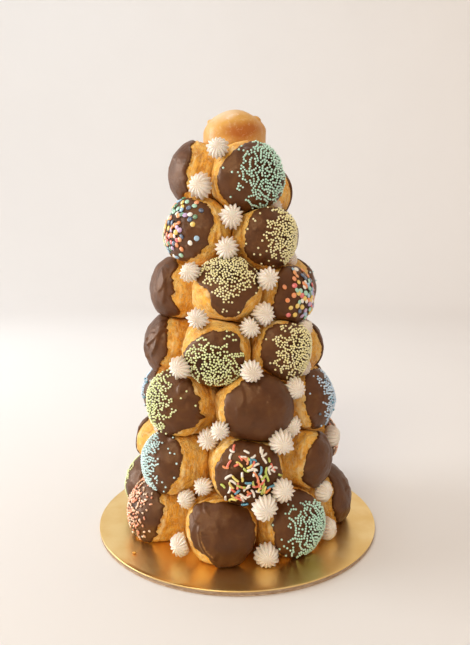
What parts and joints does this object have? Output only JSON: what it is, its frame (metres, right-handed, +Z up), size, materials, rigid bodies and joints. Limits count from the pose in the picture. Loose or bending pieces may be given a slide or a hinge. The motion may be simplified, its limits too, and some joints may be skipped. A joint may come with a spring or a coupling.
{
  "type": "croquembouche",
  "caption": "Cone of cream puffs dipped in chocolate, with sprinkles and piped cream stars, on a gold cake board.",
  "frame": {"origin": "centre of the underside of the cake board", "axes": "+Z up the tower, -Y towards the front, +X to the right seen from the front"},
  "size_m": [0.23, 0.23, 0.3351],
  "materials": {
    "choux": "golden baked choux crust with cracks and pores",
    "chocolate": "set milk chocolate, semi-matte",
    "cream": "piped ivory cream, soft satin",
    "sugar": "coloured sugar sprinkles, soft gloss",
    "gold_foil": "satin gold foil on grey board"
  },
  "bodies": {
    "root": {"cake_board": "gold_foil", "bun_1_1": "chocolate", "bun_1_2": "chocolate", "bun_1_3": "chocolate", "bun_1_4": "chocolate", "bun_1_5": "chocolate", "bun_1_6": "chocolate", "bun_1_7": "chocolate", "bun_1_8": "chocolate", "bun_2_1": "chocolate", "bun_2_2": "chocolate", "bun_2_3": "chocolate", "bun_2_4": "chocolate", "bun_2_5": "chocolate", "bun_2_6": "chocolate", "bun_2_7": "chocolate", "bun_3_1": "chocolate", "bun_3_2": "chocolate", "bun_3_3": "chocolate", "bun_3_4": "chocolate", "bun_3_5": "chocolate", "bun_3_6": "chocolate", "bun_3_7": "chocolate", "bun_4_1": "chocolate", "bun_4_2": "chocolate", "bun_4_3": "chocolate", "bun_4_4": "chocolate", "bun_4_5": "chocolate", "bun_4_6": "chocolate", "bun_5_1": "chocolate", "bun_5_2": "chocolate", "bun_5_3": "chocolate", "bun_5_4": "chocolate", "bun_5_5": "chocolate", "bun_5_6": "chocolate", "bun_6_1": "chocolate", "bun_6_2": "chocolate", "bun_6_3": "chocolate", "bun_6_4": "chocolate", "bun_6_5": "chocolate", "bun_7_1": "chocolate", "bun_7_2": "chocolate", "bun_7_3": "chocolate", "bun_7_4": "chocolate", "top_bun": "choux", "cream_star_1": "cream", "cream_star_2": "cream", "cream_star_3": "cream", "cream_star_4": "cream", "cream_star_5": "cream", "cream_star_6": "cream", "cream_star_7": "cream", "cream_star_8": "cream", "cream_star_9": "cream", "cream_star_10": "cream", "cream_star_11": "cream", "cream_star_12": "cream", "cream_star_13": "cream", "cream_star_14": "cream", "cream_star_15": "cream"}
  },
  "joints": []
}
